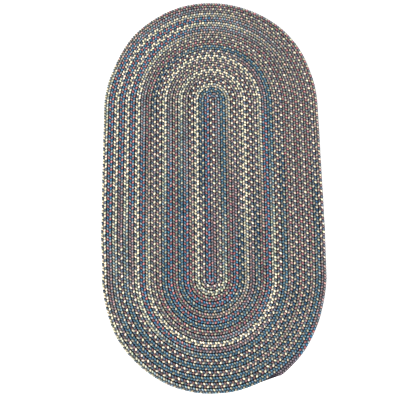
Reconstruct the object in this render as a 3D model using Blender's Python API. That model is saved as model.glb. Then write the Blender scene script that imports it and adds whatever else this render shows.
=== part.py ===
"""Oval braided rug: one long braid wound flat around a straight centre run and laced to itself.

Metres, +Z up. The rug lies on Z = 0 with its length along Y, and the origin is the middle of
its underside. The braid starts at the head (+Y) end of the centre run and winds clockwise
as seen from above. Its tail tapers off against the round before it at the foot (-Y) end,
on the right. Each round of braid is a raised row, and the lacing lies in the groove beside it.
"""

import math

import bmesh
import bpy

# Driving dimensions.
ROUND_WIDTH = 0.0168        # one round of braid, groove to groove
ROUNDS = 20                 # rounds on each side of the centre run
CENTRE_RUN = 0.550          # straight stretch between the two round ends
THICKNESS = 0.0100          # floor to the crown of a round
GROOVE_DEPTH = 0.0032       # crown down to the laced groove
CROWN_WIDTH = 0.0088        # nearly flat top of a round

# The tail is full width up to TAIL_FULL and has sunk to nothing at TAIL_TIP, both measured
# in degrees round the foot end from the end of the right-hand side.
TAIL_FULL = 54.0
TAIL_TIP = 72.0
TAIL_CURVE = 2.3            # power of the taper: above 1 it thins fastest at first

# Hand lacing has drawn the rim in or let it out a little: the place is the share of the way
# round, clockwise from the head end of the right-hand side, and the push is outwards, in metres.
UNEVEN_RIM = (
    # place, push
    (0.06, -0.001),
    (0.11, 0.003),
    (0.15, 0.004),
    (0.20, -0.003),
    (0.25, 0.000),
    (0.30, 0.002),
    (0.36, 0.001),
    (0.42, -0.002),
    (0.48, -0.007),
    (0.54, 0.001),
    (0.61, 0.000),
    (0.66, -0.002),
    (0.71, -0.010),
    (0.76, -0.004),
    (0.81, 0.000),
    (0.86, 0.001),
    (0.91, 0.003),
    (0.98, -0.005),
)

# The outer edge of the last round, from its crown down to the floor: how far out it reaches
# in round widths from the middle of that round, and its height as a share of THICKNESS.
RIM_PROFILE = (
    # reach, height
    (0.43, 0.78),
    (0.50, 0.46),
    (0.43, 0.14),
    (0.32, 0.00),
)

# How finely one round is faceted.
SIDE_STEPS = 4
END_STEPS = 20
ROUND_STEPS = 2 * (SIDE_STEPS + END_STEPS)

HALF_RUN = CENTRE_RUN / 2
RIM_RANK = ROUNDS + 0.5     # round widths from the centre line to the rim
GROOVE_HEIGHT = THICKNESS - GROOVE_DEPTH
CROWN_REACH = CROWN_WIDTH / 2 / ROUND_WIDTH
LAST_FOOT_STEP = ROUNDS * ROUND_STEPS + SIDE_STEPS      # where the last round turns the foot
TIP_STEP = LAST_FOOT_STEP + round(TAIL_TIP / 180 * END_STEPS)
MERGE_DISTANCE = 0.0001
SHARP_EDGE = math.radians(50)

WOOL_COLOUR = (0.165, 0.160, 0.165, 1.0)
WOOL_ROUGHNESS = 0.92


def rim_push(place):
    """Outward push of the rim at a share of the way round, blended between the table's rows."""
    place %= 1.0
    after = next((i for i, row in enumerate(UNEVEN_RIM) if row[0] > place), 0)
    start, start_push = UNEVEN_RIM[after - 1]
    end, end_push = UNEVEN_RIM[after]
    share = ((place - start) % 1.0) / ((end - start) % 1.0)
    blend = (1 - math.cos(math.pi * share)) / 2
    return start_push + (end_push - start_push) * blend


def rug_point(step, reach):
    """X and Y of a point at a winding step, reach round widths outside the braid's own middle.

    One round is the right side downwards, the foot end, the left side upwards and the head
    end. The foot end turns about a point half a round to the left of the centre run, and that
    is what carries each round one width further out than the one before.
    """
    turn, step = divmod(step, ROUND_STEPS)
    end_length = math.pi * RIM_RANK * ROUND_WIDTH
    girth = 2 * (CENTRE_RUN + end_length)
    if step < SIDE_STEPS:
        along = step / SIDE_STEPS * CENTRE_RUN
        rank = turn + reach
        middle, outward = (0.0, HALF_RUN - along), (1.0, 0.0)
        place = along / girth
    elif step < SIDE_STEPS + END_STEPS:
        share = (step - SIDE_STEPS) / END_STEPS
        angle = -math.pi * share
        rank = turn + 0.5 + reach
        middle, outward = (-ROUND_WIDTH / 2, -HALF_RUN), (math.cos(angle), math.sin(angle))
        place = (CENTRE_RUN + share * end_length) / girth
    elif step < 2 * SIDE_STEPS + END_STEPS:
        along = (step - SIDE_STEPS - END_STEPS) / SIDE_STEPS * CENTRE_RUN
        rank = turn + 1 + reach
        middle, outward = (0.0, along - HALF_RUN), (-1.0, 0.0)
        place = (CENTRE_RUN + end_length + along) / girth
    else:
        share = (step - 2 * SIDE_STEPS - END_STEPS) / END_STEPS
        angle = math.pi * (1 - share)
        rank = turn + 1 + reach
        middle, outward = (0.0, HALF_RUN), (math.cos(angle), math.sin(angle))
        place = (2 * CENTRE_RUN + end_length + share * end_length) / girth
    distance = rank * ROUND_WIDTH + rim_push(place) * (rank / RIM_RANK) ** 2
    return middle[0] + outward[0] * distance, middle[1] + outward[1] * distance


def tail_share(step):
    """Share of the braid's full width and height at a winding step."""
    degrees = (step - LAST_FOOT_STEP) / END_STEPS * 180
    left = (TAIL_TIP - degrees) / (TAIL_TIP - TAIL_FULL)
    return min(max(left, 0.0), 1.0) ** TAIL_CURVE


def braid_point(step, reach, height):
    """A point of the braid, drawn towards its inner edge and the groove where the tail thins."""
    share = tail_share(step)
    x, y = rug_point(step, -0.5 + (reach + 0.5) * share)
    return x, y, GROOVE_HEIGHT + (height - GROOVE_HEIGHT) * share


def build_top(bm):
    """Rows of the spiral: a groove line shared by neighbouring rounds, and two crown lines."""
    first_rim_step = TIP_STEP - ROUND_STEPS
    rim_reach, rim_height = RIM_PROFILE[0]
    grooves = []
    for step in range(TIP_STEP + ROUND_STEPS):
        inner_step = step - ROUND_STEPS
        if inner_step < first_rim_step:
            point = (*rug_point(step, -0.5), GROOVE_HEIGHT)
        else:
            point = braid_point(inner_step, rim_reach, rim_height * THICKNESS)
        grooves.append(bm.verts.new(point))
    tip = grooves[TIP_STEP]
    grooves.append(tip)

    crowns = {}
    for name, reach in (("inner", -CROWN_REACH), ("outer", CROWN_REACH)):
        line = [bm.verts.new(braid_point(step, reach, THICKNESS)) for step in range(TIP_STEP)]
        crowns[name] = line + [tip]

    outer_grooves = grooves[ROUND_STEPS:]
    for step in range(TIP_STEP):
        lines = (grooves, crowns["inner"], crowns["outer"], outer_grooves)
        for near, far in zip(lines, lines[1:]):
            corners = [near[step], near[step + 1], far[step + 1], far[step]]
            bm.faces.new(list(dict.fromkeys(corners)))

    build_nose(bm, grooves[ROUND_STEPS - END_STEPS:ROUND_STEPS + 1],
               crowns["inner"][0], crowns["outer"][0])
    return grooves[TIP_STEP:TIP_STEP + ROUND_STEPS]


def build_nose(bm, arc, inner_crown, outer_crown):
    """The rounded start of the braid, inside the first turn of the head end."""
    half = END_STEPS // 2
    for i in range(END_STEPS):
        crown = inner_crown if i < half else outer_crown
        bm.faces.new([crown, arc[i], arc[i + 1]])
    bm.faces.new([inner_crown, arc[half], outer_crown])


def build_rim(bm, shoulder):
    """The rounded outer edge, from the last round's shoulder down to the flat underside."""
    above = shoulder
    for reach, height in RIM_PROFILE[1:]:
        ring = []
        for step in range(TIP_STEP - ROUND_STEPS, TIP_STEP):
            x, y = rug_point(step, reach - 1 + tail_share(step))
            ring.append(bm.verts.new((x, y, height * THICKNESS)))
        for i in range(ROUND_STEPS):
            after = (i + 1) % ROUND_STEPS
            bm.faces.new([above[i], above[after], ring[after], ring[i]])
        above = ring
    bm.faces.new(above)


def centre_on_origin(bm):
    """Moves the rug in X and Y so that the middle of its box is the origin."""
    for axis in (0, 1):
        reach = [vert.co[axis] for vert in bm.verts]
        middle = (min(reach) + max(reach)) / 2
        for vert in bm.verts:
            vert.co[axis] -= middle


def braided_wool():
    material = bpy.data.materials.new("braided wool")
    material.use_nodes = True
    shader = material.node_tree.nodes["Principled BSDF"]
    shader.inputs["Base Color"].default_value = WOOL_COLOUR
    shader.inputs["Roughness"].default_value = WOOL_ROUGHNESS
    shader.inputs["Metallic"].default_value = 0.0
    return material


def build_rug():
    bm = bmesh.new()
    shoulder = build_top(bm)
    build_rim(bm, shoulder)
    bmesh.ops.remove_doubles(bm, verts=bm.verts, dist=MERGE_DISTANCE)
    bmesh.ops.triangulate(bm, faces=bm.faces, ngon_method="EAR_CLIP")
    bmesh.ops.recalc_face_normals(bm, faces=bm.faces)
    centre_on_origin(bm)
    mesh = bpy.data.meshes.new("braided_rug")
    bm.to_mesh(mesh)
    bm.free()
    mesh.shade_smooth()
    mesh.set_sharp_from_angle(angle=SHARP_EDGE)
    mesh.materials.append(braided_wool())
    rug = bpy.data.objects.new("braided_rug", mesh)
    bpy.context.scene.collection.objects.link(rug)


for leftover in list(bpy.data.objects):
    bpy.data.objects.remove(leftover, do_unlink=True)

build_rug()
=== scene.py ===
"""Looks of the oval braided rug: three space-dyed strands plaited into one long flat braid,
wound around a straight centre run and laced edge to edge, on a plain pale floor.
"""

import math

import bpy
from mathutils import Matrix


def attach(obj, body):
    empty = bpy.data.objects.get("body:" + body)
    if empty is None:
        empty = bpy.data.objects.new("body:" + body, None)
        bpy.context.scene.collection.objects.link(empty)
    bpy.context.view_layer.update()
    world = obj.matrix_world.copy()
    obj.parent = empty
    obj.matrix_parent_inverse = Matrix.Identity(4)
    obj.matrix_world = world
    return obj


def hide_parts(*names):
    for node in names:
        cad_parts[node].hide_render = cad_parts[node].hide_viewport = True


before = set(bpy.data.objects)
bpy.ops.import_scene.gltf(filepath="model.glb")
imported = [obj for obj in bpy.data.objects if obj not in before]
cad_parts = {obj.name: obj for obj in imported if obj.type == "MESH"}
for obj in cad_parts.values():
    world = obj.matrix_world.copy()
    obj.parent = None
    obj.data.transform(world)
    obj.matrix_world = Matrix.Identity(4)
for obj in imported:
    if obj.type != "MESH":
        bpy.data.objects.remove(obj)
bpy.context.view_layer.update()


# The strands
# Three tubes of wool-blend yarn, plaited flat into one braid about 45 metres long. The braid
# is wound clockwise from the head end of the centre run, and its tail thins out at the foot.

ROUND_WIDTH = 0.0168        # one round of braid, groove to groove
ROUNDS = 20                 # rounds on each side of the centre run
CENTRE_RUN = 0.550          # straight stretch between the two round ends
THICKNESS = 0.0100
HEAD_SHIFT = 0.018          # the rounds lie tighter at the head, so the innermost reach further
TAIL_FULL = 54.0            # degrees round the foot end up to which the braid has its full size
TAIL_TIP = 72.0             # degrees at which it has thinned to nothing
TAIL_CURVE = 2.3            # power of the taper: above 1 it thins fastest at first
TUCK = 0.12                 # round widths that the tail's tip is drawn in under the round before
TIP_LEVEL = 0.45            # height of the tip's middle line, as a share of the braid's own

# Hand lacing has drawn the rim in or let it out a little, as the photo's outline shows. The place
# is the share of the way round, clockwise from the head end of the right-hand side, and the push
# is outwards, in metres.
UNEVEN_RIM = (
    # place, push
    (0.06, -0.001),
    (0.11, 0.003),
    (0.15, 0.004),
    (0.20, -0.003),
    (0.25, 0.000),
    (0.30, 0.002),
    (0.36, 0.001),
    (0.42, -0.002),
    (0.48, -0.007),
    (0.54, 0.001),
    (0.61, 0.000),
    (0.66, -0.002),
    (0.71, -0.010),
    (0.76, -0.004),
    (0.81, 0.000),
    (0.86, 0.001),
    (0.91, 0.003),
    (0.98, -0.005),
)

SIDE_STEPS = 4
END_STEPS = 80
ROUND_STEPS = 2 * (SIDE_STEPS + END_STEPS)
HALF_RUN = CENTRE_RUN / 2
RIM_RANK = ROUNDS + 0.5
LAST_FOOT_STEP = ROUNDS * ROUND_STEPS + SIDE_STEPS
TIP_STEP = LAST_FOOT_STEP + round(TAIL_TIP / 180 * END_STEPS)

PLAIT_LENGTH = 0.0257       # from a strand on top to the same strand on top again
STRAND_WIDTH = 0.0066
STRAND_HEIGHT = 0.0034
BULGE = 0.25                # gain in a strand's width on its crest, as a share
PINCH = -0.20               # change of a strand's width where it turns at the edge, as a share
STAND = 0.85                # change of its height there
DIP = 0.4                   # how steeply its section leans on the way, the side near the middle tucked in
TIP_GIRTH = 0.25            # share of a strand's girth that is left at the tail's tip
RINGS_A_PLAIT = 14
STRAND_SIDES = 6
SWING = 0.0057              # how far a strand goes to either side of the braid's middle
LATE_CREST = 0.15           # moves a strand's crest from halfway out towards the edge
RISE = 0.0021               # how far its middle line lies above or below the braid's
NOSE = 0.0068               # how far the braid's start reaches into its first turn
NOSE_SHARE = 0.45           # share of full size at the very start

# Hand plaiting is uneven: each drift's swings per metre of braid, its amount and its seed.
PACE_DRIFT = (7.0, 0.30, 11.0)          # of where the crossings fall, in plaits
SWING_DRIFT = (14.0, 0.0007, 31.0)      # of the strands' place across the braid, in metres
GIRTH_DRIFT = (60.0, 0.08)              # of a strand's girth, as a share, with its own seed


def rim_push(place):
    """Outward push of the rim at a share of the way round, blended between the table's rows."""
    place %= 1.0
    after = next((i for i, row in enumerate(UNEVEN_RIM) if row[0] > place), 0)
    start, start_push = UNEVEN_RIM[after - 1]
    end, end_push = UNEVEN_RIM[after]
    share = ((place - start) % 1.0) / ((end - start) % 1.0)
    blend = (1 - math.cos(math.pi * share)) / 2
    return start_push + (end_push - start_push) * blend


def rug_point(step, reach):
    """X and Y of a point at a winding step, reach round widths outside the braid's own middle."""
    turn, step = divmod(step, ROUND_STEPS)
    end_length = math.pi * RIM_RANK * ROUND_WIDTH
    girth = 2 * (CENTRE_RUN + end_length)
    if step < SIDE_STEPS:
        along = step / SIDE_STEPS * CENTRE_RUN
        rank, head = turn + reach, 1 - along / CENTRE_RUN
        middle, outward = (0.0, HALF_RUN - along), (1.0, 0.0)
        place = along / girth
    elif step < SIDE_STEPS + END_STEPS:
        share = (step - SIDE_STEPS) / END_STEPS
        angle = -math.pi * share
        rank, head = turn + 0.5 + reach, 0.0
        middle, outward = (-ROUND_WIDTH / 2, -HALF_RUN), (math.cos(angle), math.sin(angle))
        place = (CENTRE_RUN + share * end_length) / girth
    elif step < 2 * SIDE_STEPS + END_STEPS:
        along = (step - SIDE_STEPS - END_STEPS) / SIDE_STEPS * CENTRE_RUN
        rank, head = turn + 1 + reach, along / CENTRE_RUN
        middle, outward = (0.0, along - HALF_RUN), (-1.0, 0.0)
        place = (CENTRE_RUN + end_length + along) / girth
    else:
        share = (step - 2 * SIDE_STEPS - END_STEPS) / END_STEPS
        angle = math.pi * (1 - share)
        rank, head = turn + 1 + reach, 1.0
        middle, outward = (0.0, HALF_RUN), (math.cos(angle), math.sin(angle))
        place = (2 * CENTRE_RUN + end_length + share * end_length) / girth
    distance = rank * ROUND_WIDTH + rim_push(place) * (rank / RIM_RANK) ** 2
    shift = HEAD_SHIFT * head * (1 - rank / RIM_RANK)
    return middle[0] + outward[0] * distance, middle[1] + outward[1] * distance + shift


def tail_share(step):
    """Share of the braid's full width and height at a winding step."""
    degrees = (step - LAST_FOOT_STEP) / END_STEPS * 180
    left = (TAIL_TIP - degrees) / (TAIL_TIP - TAIL_FULL)
    return min(max(left, 0.0), 1.0) ** TAIL_CURVE


def rug_middle():
    """Middle of the rim's box: the rug is laid with this point on the origin."""
    last_round = range(TIP_STEP - ROUND_STEPS, TIP_STEP)
    rim = [rug_point(step, tail_share(step) - 0.5) for step in last_round]
    return [(min(reach) + max(reach)) / 2 for reach in zip(*rim)]


def winding_path(name, first_step, reach):
    """A line of edges along the winding, with the braid's share of full size at each point."""
    middle = rug_middle()
    points = []
    shares = []
    if first_step == 0:
        points.append((-middle[0], HALF_RUN + HEAD_SHIFT + NOSE - middle[1], THICKNESS / 2))
        shares.append(NOSE_SHARE)
    for step in range(first_step, TIP_STEP):
        share = tail_share(step)
        x, y = rug_point(step, (reach + 0.5) * share - 0.5 - TUCK * (1 - share))
        level = TIP_LEVEL + (1 - TIP_LEVEL) * share
        points.append((x - middle[0], y - middle[1], THICKNESS / 2 * level))
        shares.append(share)
    mesh = bpy.data.meshes.new(name)
    mesh.from_pydata(points, [(i, i + 1) for i in range(len(points) - 1)], [])
    mesh.attributes.new("share", "FLOAT", "POINT").data.foreach_set("value", shares)
    path = bpy.data.objects.new(name, mesh)
    bpy.context.scene.collection.objects.link(path)
    return path


def path_length(path):
    """Length of a winding path, corner to corner."""
    corners = path.data.vertices
    return sum((b.co - a.co).length for a, b in zip(corners, corners[1:]))


def add_node(tree, kind, links=(), **settings):
    """Adds a node, sets its properties, and links or sets its inputs, in order or by name.

    A node that is given as an input stands for its first output.
    """
    node = tree.nodes.new(kind)
    for key, value in settings.items():
        setattr(node, key, value)
    for key, value in links.items() if isinstance(links, dict) else enumerate(links):
        value = value.outputs[0] if isinstance(value, bpy.types.Node) else value
        if isinstance(value, bpy.types.NodeSocket):
            tree.links.new(value, node.inputs[key])
        else:
            node.inputs[key].default_value = value
    return node


def plait_tree():
    """Geometry Nodes: one strand of a flat plait along a path, as a closed tube.

    At the turn angle of the plait the strand's middle line lies sin(angle) of its swing to the
    side and sin(2 angle) of its rise above the path, so it is on top on its way from the middle
    to either edge, turns over the edge, and comes back underneath. Its section is flat and wide
    where it crosses and narrow and tall where it turns. On the way it leans: the side nearer the
    braid's edge stands further from its middle plane.
    """
    tree = bpy.data.node_groups.new("plaited_strand", "GeometryNodeTree")
    tree.is_modifier = True
    tree.interface.new_socket("Path", in_out="INPUT", socket_type="NodeSocketGeometry")
    sizes = ("From", "To", "Phase", "Plait length", "Swing", "Rise", "Width", "Height", "Pinch",
             "Bulge", "Stand", "Dip", "Ring spacing", "Seed")
    for size in sizes:
        tree.interface.new_socket(size, in_out="INPUT", socket_type="NodeSocketFloat")
    tree.interface.new_socket("Sides", in_out="INPUT", socket_type="NodeSocketInt")
    tree.interface.new_socket("Finish", in_out="INPUT", socket_type="NodeSocketMaterial")
    tree.interface.new_socket("Strand", in_out="OUTPUT", socket_type="NodeSocketGeometry")
    given = tree.nodes.new("NodeGroupInput").outputs

    # rings along the path, each with its distance from the braid's start
    line = add_node(tree, "GeometryNodeMeshToCurve", [given["Path"]])
    spline = add_node(tree, "GeometryNodeSplineParameter")
    marked = add_node(tree, "GeometryNodeStoreNamedAttribute",
                      {"Geometry": line, "Name": "run", "Value": spline.outputs["Length"]},
                      data_type="FLOAT", domain="POINT")
    trimmed = add_node(tree, "GeometryNodeTrimCurve", {"Curve": marked}, mode="LENGTH")
    start, end = [socket for socket in trimmed.inputs
                  if socket.name in ("Start", "End") and socket.enabled]
    tree.links.new(given["From"], start)
    tree.links.new(given["To"], end)
    rings = add_node(tree, "GeometryNodeResampleCurve",
                     {"Curve": trimmed, "Length": given["Ring spacing"]}, mode="LENGTH")
    run = add_node(tree, "GeometryNodeInputNamedAttribute", {"Name": "run"}, data_type="FLOAT")
    share = add_node(tree, "GeometryNodeInputNamedAttribute", {"Name": "share"}, data_type="FLOAT")

    def wander(per_metre, amount, seed):
        """A slow random drift along the braid, from -amount to +amount."""
        place = add_node(tree, "ShaderNodeMath", [run, per_metre, seed], operation="MULTIPLY_ADD")
        noise = add_node(tree, "ShaderNodeTexNoise", {"W": place, "Scale": 1.0, "Detail": 1.0},
                         noise_dimensions="1D")
        return add_node(tree, "ShaderNodeMath", [noise, 2 * amount, -amount], operation="MULTIPLY_ADD")

    turns = add_node(tree, "ShaderNodeMath", [run, given["Plait length"]], operation="DIVIDE")
    turns = add_node(tree, "ShaderNodeMath", [turns, given["Phase"]], operation="ADD")
    turns = add_node(tree, "ShaderNodeMath", [turns, wander(*PACE_DRIFT)], operation="ADD")
    angle = add_node(tree, "ShaderNodeMath", [turns, 2 * math.pi], operation="MULTIPLY")
    twice = add_node(tree, "ShaderNodeMath", [turns, 4 * math.pi], operation="MULTIPLY")
    four_times = add_node(tree, "ShaderNodeMath", [turns, 8 * math.pi], operation="MULTIPLY")
    side = add_node(tree, "ShaderNodeMath", [angle], operation="SINE")
    level = add_node(tree, "ShaderNodeMath", [twice], operation="SINE")
    late = add_node(tree, "ShaderNodeMath", [four_times], operation="SINE")
    edge = add_node(tree, "ShaderNodeMath", [side, side], operation="MULTIPLY")
    slope = add_node(tree, "ShaderNodeMath", [level, level], operation="MULTIPLY")

    # the strand's middle line
    across = add_node(tree, "ShaderNodeMath", [side, given["Swing"], wander(*SWING_DRIFT)],
                      operation="MULTIPLY_ADD")
    across = add_node(tree, "ShaderNodeMath", [across, share], operation="MULTIPLY")
    height = add_node(tree, "ShaderNodeMath", [late, -LATE_CREST, level], operation="MULTIPLY_ADD")
    height = add_node(tree, "ShaderNodeMath", [height, given["Rise"]], operation="MULTIPLY")
    height = add_node(tree, "ShaderNodeMath", [height, share], operation="MULTIPLY")
    tangent = add_node(tree, "GeometryNodeInputTangent")
    outward = add_node(tree, "ShaderNodeVectorMath", [(0.0, 0.0, 1.0), tangent],
                       operation="CROSS_PRODUCT")
    shift = add_node(tree, "ShaderNodeVectorMath", {0: outward, "Scale": across}, operation="SCALE")
    lift = add_node(tree, "ShaderNodeCombineXYZ", {"Z": height})
    offset = add_node(tree, "ShaderNodeVectorMath", [shift, lift], operation="ADD")
    placed = add_node(tree, "GeometryNodeSetPosition", {"Geometry": rings, "Offset": offset})
    level_side = add_node(tree, "ShaderNodeVectorMath", [outward], operation="NORMALIZE")
    sided = add_node(tree, "GeometryNodeCaptureAttribute", {"Geometry": placed}, domain="POINT")
    sided.capture_items.new("VECTOR", "Side")
    tree.links.new(level_side.outputs[0], sided.inputs["Side"])

    # the section's corners, swept at no size and then spread to the strand's own size
    circle = add_node(tree, "GeometryNodeCurvePrimitiveCircle",
                      {"Resolution": given["Sides"], "Radius": 0.5})
    crown = add_node(tree, "GeometryNodeTransform",
                     {"Geometry": circle, "Rotation": (0.0, 0.0, math.pi / 2)})
    corners = add_node(tree, "GeometryNodeStoreNamedAttribute",
                       {"Geometry": crown, "Name": "corner",
                        "Value": add_node(tree, "GeometryNodeInputPosition")},
                       data_type="FLOAT_VECTOR", domain="POINT")
    tube = add_node(tree, "GeometryNodeCurveToMesh",
                    {"Curve": sided, "Profile Curve": corners, "Scale": 0.0, "Fill Caps": True})
    corner = add_node(tree, "GeometryNodeInputNamedAttribute", {"Name": "corner"},
                      data_type="FLOAT_VECTOR")
    corner = add_node(tree, "ShaderNodeSeparateXYZ", [corner])

    girth = add_node(tree, "ShaderNodeMath", [share, 1 - TIP_GIRTH, TIP_GIRTH],
                     operation="MULTIPLY_ADD")
    uneven = add_node(tree, "ShaderNodeMath", [wander(*GIRTH_DRIFT, given["Seed"]), 1.0],
                      operation="ADD")
    girth = add_node(tree, "ShaderNodeMath", [girth, uneven], operation="MULTIPLY")
    width = add_node(tree, "ShaderNodeMath", [edge, given["Pinch"], 1.0], operation="MULTIPLY_ADD")
    width = add_node(tree, "ShaderNodeMath", [slope, given["Bulge"], width], operation="MULTIPLY_ADD")
    width = add_node(tree, "ShaderNodeMath", [width, given["Width"]], operation="MULTIPLY")
    width = add_node(tree, "ShaderNodeMath", [width, girth], operation="MULTIPLY")
    width = add_node(tree, "ShaderNodeMath", [width, corner.outputs["X"]], operation="MULTIPLY")
    tall = add_node(tree, "ShaderNodeMath", [edge, given["Stand"], 1.0], operation="MULTIPLY_ADD")
    tall = add_node(tree, "ShaderNodeMath", [tall, given["Height"]], operation="MULTIPLY")
    tall = add_node(tree, "ShaderNodeMath", [tall, girth], operation="MULTIPLY")
    tall = add_node(tree, "ShaderNodeMath", [tall, corner.outputs["Y"]], operation="MULTIPLY")
    dip = add_node(tree, "ShaderNodeMath", [side, level], operation="MULTIPLY")
    dip = add_node(tree, "ShaderNodeMath", [dip, given["Dip"]], operation="MULTIPLY")
    tall = add_node(tree, "ShaderNodeMath", [dip, width, tall], operation="MULTIPLY_ADD")
    spread = add_node(tree, "ShaderNodeVectorMath", {0: sided.outputs["Side"], "Scale": width},
                      operation="SCALE")
    raised = add_node(tree, "ShaderNodeCombineXYZ", {"Z": tall})
    spread = add_node(tree, "ShaderNodeVectorMath", [spread, raised], operation="ADD")
    tube = add_node(tree, "GeometryNodeSetPosition", {"Geometry": tube, "Offset": spread})
    # place across the braid, which the wool's painted shade at its middle and grooves reads
    lane = add_node(tree, "ShaderNodeMath", [across, width], operation="ADD")
    tube = add_node(tree, "GeometryNodeStoreNamedAttribute",
                    {"Geometry": tube, "Name": "lane", "Value": lane}, data_type="FLOAT", domain="POINT")
    smooth = add_node(tree, "GeometryNodeSetShadeSmooth", [tube])
    real = add_node(tree, "GeometryNodeRealizeInstances", [smooth])
    finished = add_node(tree, "GeometryNodeSetMaterial", {"Geometry": real, "Material": given["Finish"]})
    add_node(tree, "NodeGroupOutput", [finished])
    return tree


def grow(name, path, tree, inputs):
    """Runs a node tree on a path and keeps the result as a plain mesh piece."""
    modifier = path.modifiers.new("growth", "NODES")
    modifier.node_group = tree
    for socket in tree.interface.items_tree:
        if socket.in_out == "INPUT" and socket.name in inputs:
            modifier[socket.identifier] = inputs[socket.name]
    evaluated = path.evaluated_get(bpy.context.evaluated_depsgraph_get())
    mesh = bpy.data.meshes.new_from_object(evaluated)
    path.modifiers.remove(modifier)
    mesh.name = name
    piece = bpy.data.objects.new(name, mesh)
    bpy.context.scene.collection.objects.link(piece)
    return piece


def linear(hex_colour):
    """Linear red, green, blue and alpha of an sRGB hex colour."""
    levels = [int(hex_colour[i:i + 2], 16) / 255 for i in (1, 3, 5)]
    return [c / 12.92 if c <= 0.04045 else ((c + 0.055) / 1.055) ** 2.4 for c in levels] + [1.0]


CREAM = "#e4dbc3"
OAT = "#dad1b9"
STRAW = "#cfc8b0"
CELERY = "#ced2bc"
SAND = "#b9b39e"
KHAKI = "#a19e8e"
ROSE_BEIGE = "#b59c92"
CORAL = "#a56c6e"
ROSE = "#9b6b71"
DUSTY_ROSE = "#a48785"
BARK = "#7a5f62"
MAUVE = "#86757b"
PEWTER = "#6d757c"
SLATE = "#5a6878"
INDIGO = "#2d506c"
BLUE = "#3e7293"
TEAL = "#527488"
STEEL = "#7f98a4"
STONE = "#84929b"

# The dye repeat of each strand: the share of the repeat at which a colour begins. Places and
# colours follow what was measured along the braid in the photo.
STRAND_DYES = (
    (
        (0.000, CREAM),
        (0.068, DUSTY_ROSE),
        (0.105, CORAL),
        (0.215, DUSTY_ROSE),
        (0.255, MAUVE),
        (0.395, PEWTER),
        (0.455, TEAL),
        (0.545, PEWTER),
        (0.575, CELERY),
        (0.605, CREAM),
        (0.715, SAND),
        (0.750, KHAKI),
        (0.860, SAND),
        (0.940, STRAW),
        (0.965, CREAM),
    ),
    (
        (0.000, SLATE),
        (0.065, PEWTER),
        (0.105, BLUE),
        (0.228, STONE),
        (0.250, PEWTER),
        (0.360, SLATE),
        (0.400, INDIGO),
        (0.435, TEAL),
        (0.540, STEEL),
        (0.580, PEWTER),
        (0.605, SLATE),
        (0.715, STONE),
        (0.755, PEWTER),
        (0.935, SLATE),
    ),
    (
        (0.000, BARK),
        (0.045, MAUVE),
        (0.098, STONE),
        (0.262, SAND),
        (0.290, STRAW),
        (0.325, OAT),
        (0.405, SAND),
        (0.448, KHAKI),
        (0.540, SAND),
        (0.575, STRAW),
        (0.605, CREAM),
        (0.715, STRAW),
        (0.750, ROSE_BEIGE),
        (0.785, ROSE),
        (0.905, DUSTY_ROSE),
        (0.965, BARK),
    ),
)
DYE_REPEAT = 5.33           # metres of braid in the first repeat, less DYE_GROWTH
DYE_GROWTH = 0.0285         # metres that are added for each repeat's number, squared
DYE_BLEND = 0.016           # share of the repeat over which one dye runs into the next
DYE_DRIFT = 0.015           # share of the repeat that a dye's edge wanders either way
BLOTCH_SIZE = 0.040         # spacing of those wanderings
LAST_JOIN = 44.25           # metres from the start: here new yarn is joined on,
JOIN_JUMP = 0.075           # this share of a repeat further along,
JOIN_LENGTH = 0.1           # with the change spread over this length
DULL = "#7a7078"
DULL_LENGTH = 0.165         # metres at the tail's end coloured plain dull grey-mauve
DULL_BLEND = 0.04           # metres over which it comes in
# colour of painted shade, in the wool's deepest creases and on the dark strips in the grooves
SHADED = "#070b18"
WOOL_GAIN = 0.85            # tones every dye down, so that pale wool's colour rarely passes 1
GLOW = 0.33                 # painted light that pale wool throws into its own creases
FIBRE_PULL = 0.25           # fibres are four times as long as they are wide
STREAK_SIZE = 0.0019        # fibre streaks and fuzz are drawn coarser than real ones, to show
FUZZ_SIZE = 0.0008
FUZZ_HEIGHT = 0.0005
PATCH_SIZE = 0.0090         # about one loop of the plait
NOISE_LOW, NOISE_HIGH = 0.3, 0.7        # nearly all of a noise lies between these
STREAK_DARK, STREAK_LIGHT = 0.70, 1.26
LOOP_DARK, LOOP_LIGHT = 0.72, 1.25
TINT_CHANGE = 0.40          # span of the gain that each loop's red, green and blue get

# Painted shade: light left on the wool's colour, by its distance from the braid's middle plane,
# from its middle line and, beside the groove, from the middle line again.
CREASE_DEEP, CREASE_OPEN = 0.0006, 0.0037
CROSSING_DEEP, CROSSING_OPEN = 0.0, 0.0020
GROOVE_DEEP, GROOVE_OPEN = 0.0078, 0.0054
CREASE_LIGHT = 0.04
CROSSING_LIGHT = 0.30
GROOVE_LIGHT = 0.04


def fill_dye_ramp(ramp, dyes):
    """Puts a strand's dyes on a colour ramp: each one holds, then runs into the next."""
    stops = []
    for (start, colour), (end, _) in zip(dyes, (*dyes[1:], (1.0, None))):
        stops.append((start + DYE_BLEND / 2, colour))
        stops.append((end - DYE_BLEND / 2, colour))
    for element, (place, colour) in zip(ramp.elements, (stops[0], stops[-1])):
        element.position = place
        element.color = linear(colour)
    for place, colour in stops[1:-1]:
        ramp.elements.new(place).color = linear(colour)


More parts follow.
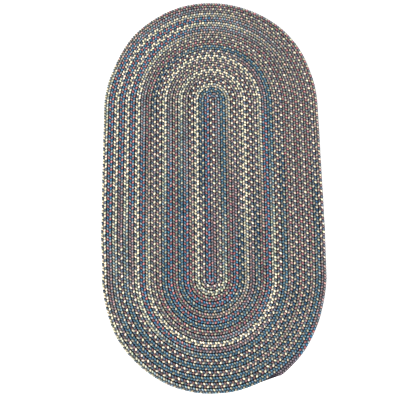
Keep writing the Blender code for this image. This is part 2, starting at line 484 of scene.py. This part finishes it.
def dyed_wool(name, dyes, seed, braid_length):
    """Space-dyed wool blend: matt and fuzzy, streaked along the strand, with painted shade in the
    creases.
    """
    material = bpy.data.materials.new(name)
    material.use_nodes = True
    tree = material.node_tree
    shader = tree.nodes["Principled BSDF"]
    run = add_node(tree, "ShaderNodeAttribute", attribute_name="run").outputs["Fac"]
    corner = add_node(tree, "ShaderNodeAttribute", attribute_name="corner").outputs["Vector"]
    where = add_node(tree, "ShaderNodeTexCoord").outputs["Object"]

    # run = DYE_REPEAT * turns + DYE_GROWTH * turns squared, solved for turns
    inside = add_node(tree, "ShaderNodeMath", [run, 4 * DYE_GROWTH, DYE_REPEAT ** 2],
                      operation="MULTIPLY_ADD")
    root = add_node(tree, "ShaderNodeMath", [inside], operation="SQRT")
    turns = add_node(tree, "ShaderNodeMath", [root, DYE_REPEAT], operation="SUBTRACT")
    turns = add_node(tree, "ShaderNodeMath", [turns, 2 * DYE_GROWTH], operation="DIVIDE")
    drift = add_node(tree, "ShaderNodeTexNoise", {"Vector": where, "Scale": 1 / BLOTCH_SIZE,
                     "Detail": 1.0})
    drift = add_node(tree, "ShaderNodeMath", [drift, 2 * DYE_DRIFT, -DYE_DRIFT],
                     operation="MULTIPLY_ADD")
    turns = add_node(tree, "ShaderNodeMath", [turns, drift], operation="ADD")
    jump = add_node(tree, "ShaderNodeMapRange", {"Value": run, "From Min": LAST_JOIN,
                    "From Max": LAST_JOIN + JOIN_LENGTH, "To Max": JOIN_JUMP})
    turns = add_node(tree, "ShaderNodeMath", [turns, jump], operation="ADD")
    place = add_node(tree, "ShaderNodeMath", [turns], operation="FRACT")
    ramp = add_node(tree, "ShaderNodeValToRGB", {"Fac": place})
    fill_dye_ramp(ramp.color_ramp, dyes)
    dull_start = braid_length - DULL_LENGTH
    tail = add_node(tree, "ShaderNodeMapRange", {"Value": run, "From Min": dull_start - DULL_BLEND / 2,
                    "From Max": dull_start + DULL_BLEND / 2})
    colour = add_node(tree, "ShaderNodeMix", {"Factor": tail, 6: ramp, 7: linear(DULL)},
                      data_type="RGBA").outputs[2]

    # fibres lie along the strand: place in the section, and a slow step along the braid
    along = add_node(tree, "ShaderNodeMath", [run, FIBRE_PULL], operation="MULTIPLY")
    fibre = add_node(tree, "ShaderNodeVectorMath", [corner, (STRAND_WIDTH, STRAND_HEIGHT, 0.0)],
                     operation="MULTIPLY")
    along = add_node(tree, "ShaderNodeCombineXYZ", {"Z": along})
    fibre = add_node(tree, "ShaderNodeVectorMath", [fibre, along], operation="ADD")
    streak = add_node(tree, "ShaderNodeTexNoise", {"Vector": fibre, "Scale": 1 / STREAK_SIZE,
                      "Detail": 2.0})
    streak = add_node(tree, "ShaderNodeMapRange", {"Value": streak, "From Min": NOISE_LOW,
                      "From Max": NOISE_HIGH, "To Min": STREAK_DARK, "To Max": STREAK_LIGHT})
    patch = add_node(tree, "ShaderNodeMath", [run, 1 / PATCH_SIZE, seed], operation="MULTIPLY_ADD")
    patch = add_node(tree, "ShaderNodeTexNoise", {"W": patch, "Scale": 1.0, "Detail": 2.0},
                     noise_dimensions="1D")
    bright = add_node(tree, "ShaderNodeMapRange", {"Value": patch, "From Min": NOISE_LOW,
                      "From Max": NOISE_HIGH, "To Min": LOOP_DARK, "To Max": LOOP_LIGHT})
    tint = add_node(tree, "ShaderNodeVectorMath",
                    [patch.outputs["Color"], [TINT_CHANGE] * 3, [1 - TINT_CHANGE / 2] * 3],
                    operation="MULTIPLY_ADD")
    tone = add_node(tree, "ShaderNodeMath", [streak, bright], operation="MULTIPLY")
    tone = add_node(tree, "ShaderNodeMath", [tone, WOOL_GAIN], operation="MULTIPLY")
    toned = add_node(tree, "ShaderNodeVectorMath", [colour, tint], operation="MULTIPLY")
    toned = add_node(tree, "ShaderNodeVectorMath", {0: toned, "Scale": tone}, operation="SCALE")

    # painted shade: darker deep between the faces, at the middle of the braid and in the grooves
    # beside it, with painted bounce light from pale wool's own colour in its creases
    height = add_node(tree, "ShaderNodeSeparateXYZ", [where]).outputs["Z"]
    depth = add_node(tree, "ShaderNodeMath", [height, THICKNESS / 2], operation="SUBTRACT")
    depth = add_node(tree, "ShaderNodeMath", [depth], operation="ABSOLUTE")
    open_face = add_node(tree, "ShaderNodeMapRange", {"Value": depth, "From Min": CREASE_DEEP,
                         "From Max": CREASE_OPEN, "To Min": CREASE_LIGHT, "To Max": 1.0},
                         interpolation_type="SMOOTHSTEP")
    lane = add_node(tree, "ShaderNodeAttribute", attribute_name="lane").outputs["Fac"]
    lane = add_node(tree, "ShaderNodeMath", [lane], operation="ABSOLUTE")
    off_middle = add_node(tree, "ShaderNodeMapRange", {"Value": lane, "From Min": CROSSING_DEEP,
                          "From Max": CROSSING_OPEN, "To Min": CROSSING_LIGHT, "To Max": 1.0},
                          interpolation_type="SMOOTHSTEP")
    off_groove = add_node(tree, "ShaderNodeMapRange", {"Value": lane, "From Min": GROOVE_DEEP,
                          "From Max": GROOVE_OPEN, "To Min": GROOVE_LIGHT, "To Max": 1.0},
                          interpolation_type="SMOOTHSTEP")
    lit = add_node(tree, "ShaderNodeMath", [open_face, off_middle], operation="MULTIPLY")
    lit = add_node(tree, "ShaderNodeMath", [lit, off_groove], operation="MULTIPLY")
    glow = add_node(tree, "ShaderNodeVectorMath", [toned, toned], operation="MULTIPLY")
    deep = add_node(tree, "ShaderNodeVectorMath", [glow, [GLOW] * 3, linear(SHADED)[:3]],
                    operation="MULTIPLY_ADD")
    shaded = add_node(tree, "ShaderNodeMix", {"Factor": lit, 6: deep, 7: toned},
                      data_type="RGBA").outputs[2]
    tree.links.new(shaded, shader.inputs["Base Color"])

    fuzz = add_node(tree, "ShaderNodeTexNoise", {"Vector": fibre, "Scale": 1 / FUZZ_SIZE,
                    "Detail": 3.0})
    bump = add_node(tree, "ShaderNodeBump", {"Height": fuzz, "Strength": 0.6,
                    "Distance": FUZZ_HEIGHT})
    tree.links.new(bump.outputs[0], shader.inputs["Normal"])
    shader.inputs["Roughness"].default_value = 0.9
    shader.inputs["Sheen Weight"].default_value = 0.15
    shader.inputs["Sheen Roughness"].default_value = 0.5
    shader.inputs["Specular IOR Level"].default_value = 0.0
    return material


PIECE_SHARE = 0.52          # each strand is kept as two pieces, inner rounds up to here and outer
FIBRE_SEED = 100.0          # times the strand's number, so that each has its own streaks
GIRTH_SEED = 50.0

braid_path = winding_path("braid_path", 0, 0.0)
plait = plait_tree()
braid_length = path_length(braid_path)
piece_end = PIECE_SHARE * braid_length

for number, dyes in enumerate(STRAND_DYES, start=1):
    wool = dyed_wool(f"space dyed wool {number}", dyes, FIBRE_SEED * number, braid_length)
    for rounds, start, end in (("inner", 0.0, piece_end), ("outer", piece_end, braid_length)):
        strand = grow(f"strand_{number}_{rounds}_rounds", braid_path, plait, {
            "From": start,
            "To": end,
            "Phase": number / 3,
            "Plait length": PLAIT_LENGTH,
            "Swing": SWING,
            "Rise": RISE,
            "Width": STRAND_WIDTH,
            "Height": STRAND_HEIGHT,
            "Ring spacing": PLAIT_LENGTH / RINGS_A_PLAIT,
            "Pinch": PINCH,
            "Bulge": BULGE,
            "Stand": STAND,
            "Dip": DIP,
            "Seed": GIRTH_SEED * number,
            "Sides": STRAND_SIDES,
            "Finish": wool,
        })
        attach(strand, "root")
        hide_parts("braided_rug")


# The laced joints
# Deep in each groove, the loops at the edges of neighbouring rounds are drawn together by the
# lacing. They show only as a shaded web that closes the groove, so they are one strip in a dark
# colour of painted shade. A second such strip of painted shade closes the open side of the last
# round, where there is only a shaded gap.

JOINT_WIDTH = 0.0172
JOINT_HEIGHT = 0.0014

# the second strip begins one round before the tail starts to thin
FIRST_EDGE_STEP = LAST_FOOT_STEP + round(TAIL_FULL / 180 * END_STEPS) - ROUND_STEPS
EDGE_REACH = 0.21           # round widths from the last round's middle out to the second strip
EDGE_WIDTH = 0.0078
STRIP_END = 0.030           # the strips stop this far before the tip of the tail
STRIP_RINGS = 0.008         # spacing of the strips' rings
STRIP_SEED = 7.0
GRAIN_SIZE = 0.0025
GRAIN_HEIGHT = 0.0008
FIRST_JOINT_STEP = SIDE_STEPS + END_STEPS


def shaded_wool():
    """The same wool blend deep in the groove, in one dark colour of painted shade in place of its dyes.
    """
    material = bpy.data.materials.new("shaded wool")
    material.use_nodes = True
    tree = material.node_tree
    shader = tree.nodes["Principled BSDF"]
    where = add_node(tree, "ShaderNodeTexCoord").outputs["Object"]
    fibre = add_node(tree, "ShaderNodeTexNoise", {"Vector": where, "Scale": 1 / GRAIN_SIZE,
                     "Detail": 3.0})
    bump = add_node(tree, "ShaderNodeBump", {"Height": fibre, "Strength": 0.6,
                    "Distance": GRAIN_HEIGHT})
    tree.links.new(bump.outputs[0], shader.inputs["Normal"])
    shader.inputs["Base Color"].default_value = linear(SHADED)
    shader.inputs["Roughness"].default_value = 0.95
    return material


groove_path = winding_path("groove_path", FIRST_JOINT_STEP, -0.5)
edge_path = winding_path("edge_path", FIRST_EDGE_STEP, EDGE_REACH)
finish = shaded_wool()
strips = []
for name, path, width in (
        ("laced_joints", groove_path, JOINT_WIDTH), ("last_edge", edge_path, EDGE_WIDTH)):
    strips.append(grow(name, path, plait, {
        "From": 0.0,
        "To": path_length(path) - STRIP_END,
        "Phase": 0.0,
        "Plait length": PLAIT_LENGTH,
        "Swing": 0.0,
        "Rise": 0.0,
        "Width": width,
        "Height": JOINT_HEIGHT,
        "Ring spacing": STRIP_RINGS,
        "Pinch": 0.0,
        "Bulge": 0.0,
        "Stand": 0.0,
        "Dip": 0.0,
        "Seed": STRIP_SEED,
        "Sides": STRAND_SIDES,
        "Finish": finish,
    }))
    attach(strips[-1], "root")
    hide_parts("braided_rug")

for path in (braid_path, groove_path, edge_path):
    bpy.data.objects.remove(path, do_unlink=True)


# Floor, light and camera
# A light grey floor that also gives off light, so that it shows white as in the photo, a large
# soft light from the lower left and a pale sky. The camera looks down from above.

FLOOR = "#cccccc"
FLOOR_LIGHT = "#ffffff"
FLOOR_GLOW = 0.8
FLOOR_SIZE = 60.0
SKY = (0.95, 0.97, 1.0, 1.0)
SKY_STRENGTH = 0.74
KEY_PLACE = (-6.9, -5.0, 4.2)
KEY_SIZE = 2.0
KEY_POWER = 2470.0
KEY_COLOUR = (1.0, 0.98, 0.94)


def pale_floor():
    """Opal acrylic over a light table: it gives off light, so hardly a shadow shows on it."""
    material = bpy.data.materials.new("opal acrylic")
    material.use_nodes = True
    shader = material.node_tree.nodes["Principled BSDF"]
    shader.inputs["Base Color"].default_value = linear(FLOOR)
    shader.inputs["Roughness"].default_value = 0.9
    shader.inputs["Emission Color"].default_value = linear(FLOOR_LIGHT)
    shader.inputs["Emission Strength"].default_value = FLOOR_GLOW
    return material


bpy.ops.mesh.primitive_plane_add(size=FLOOR_SIZE, location=(0.0, 0.0, 0.0))
floor = bpy.context.object
floor.name = "floor"
floor.data.materials.append(pale_floor())

world = bpy.data.worlds.new("soft_sky")
bpy.context.scene.world = world
world.use_nodes = True
world.node_tree.nodes["Background"].inputs["Color"].default_value = SKY
world.node_tree.nodes["Background"].inputs["Strength"].default_value = SKY_STRENGTH


def soft_light(name, location, size, power, colour):
    """A square area light that faces the rug."""
    light = bpy.data.lights.new(name, "AREA")
    light.shape = "SQUARE"
    light.size = size
    light.energy = power
    light.color = colour
    lamp = bpy.data.objects.new(name, light)
    lamp.location = location
    lamp.rotation_euler = (-lamp.location).to_track_quat("-Z", "Y").to_euler()
    bpy.context.scene.collection.objects.link(lamp)


soft_light("key_light", KEY_PLACE, KEY_SIZE, KEY_POWER, KEY_COLOUR)

# Place and turn were fitted to the rug's outline and grooves in the photo, for this lens.
LENS = 54.0
CAMERA_PLACE = (-0.133, -0.318, 1.843)
CAMERA_TURN = (0.1528, -0.0494, -0.0092)    # about X, Y and Z, in the order Z, X, Y

camera_data = bpy.data.cameras.new("camera")
camera_data.lens = LENS
camera_data.sensor_width = 36.0
camera = bpy.data.objects.new("camera", camera_data)
camera.rotation_mode = "ZXY"
camera.rotation_euler = CAMERA_TURN
camera.location = CAMERA_PLACE
bpy.context.scene.collection.objects.link(camera)
bpy.context.scene.camera = camera
bpy.context.scene.view_settings.view_transform = "Standard"
